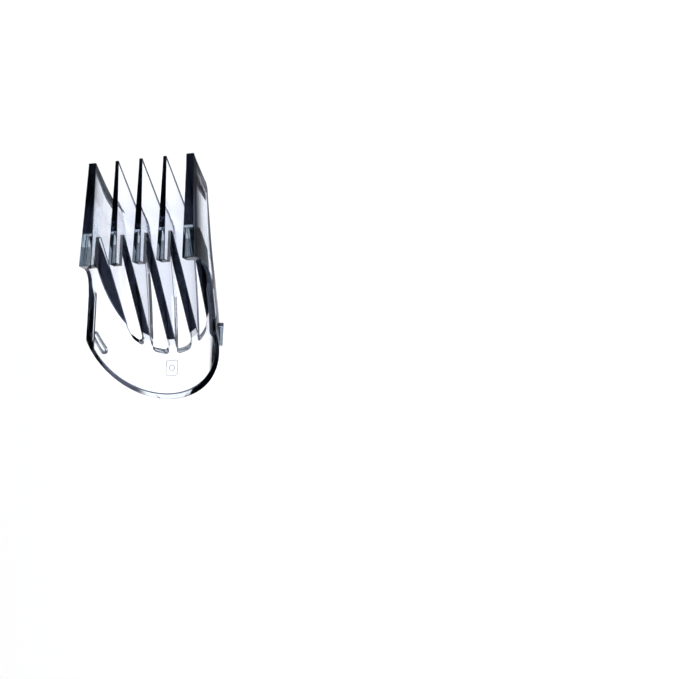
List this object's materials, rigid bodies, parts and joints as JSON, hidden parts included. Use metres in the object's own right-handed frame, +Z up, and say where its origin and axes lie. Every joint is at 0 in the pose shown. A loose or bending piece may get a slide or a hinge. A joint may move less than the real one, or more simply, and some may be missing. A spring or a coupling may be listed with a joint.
{
  "type": "hair clipper guide comb",
  "caption": "Clear plastic guide comb for a hair clipper: tapered teeth with a blade notch on a curved shell that snaps over the clipper's head.",
  "frame": {"origin": "middle of the footprint box of the comb lying on its back, on the surface it lies on", "axes": "+X across the comb, +Y towards the tooth tips, +Z up, away from the surface the comb lies on; the comb's inner side, which faces the clipper, looks up"},
  "size_m": [0.0516, 0.0812, 0.0233],
  "materials": {
    "clear_plastic": "clear, glossy, water-white with a slight cool tint",
    "frosted_mark": "clear with a fine matt texture"
  },
  "bodies": {
    "root": {"bib": "clear_plastic", "left_wing": "clear_plastic", "right_wing": "clear_plastic", "left_web": "clear_plastic", "right_web": "clear_plastic", "tooth_left_outer": "clear_plastic", "tooth_left": "clear_plastic", "tooth_middle": "clear_plastic", "tooth_right": "clear_plastic", "tooth_right_outer": "clear_plastic", "left_edge_rib": "clear_plastic", "right_edge_rib": "clear_plastic", "left_catch": "clear_plastic", "right_catch": "clear_plastic", "setting_mark": "frosted_mark"}
  },
  "joints": []
}
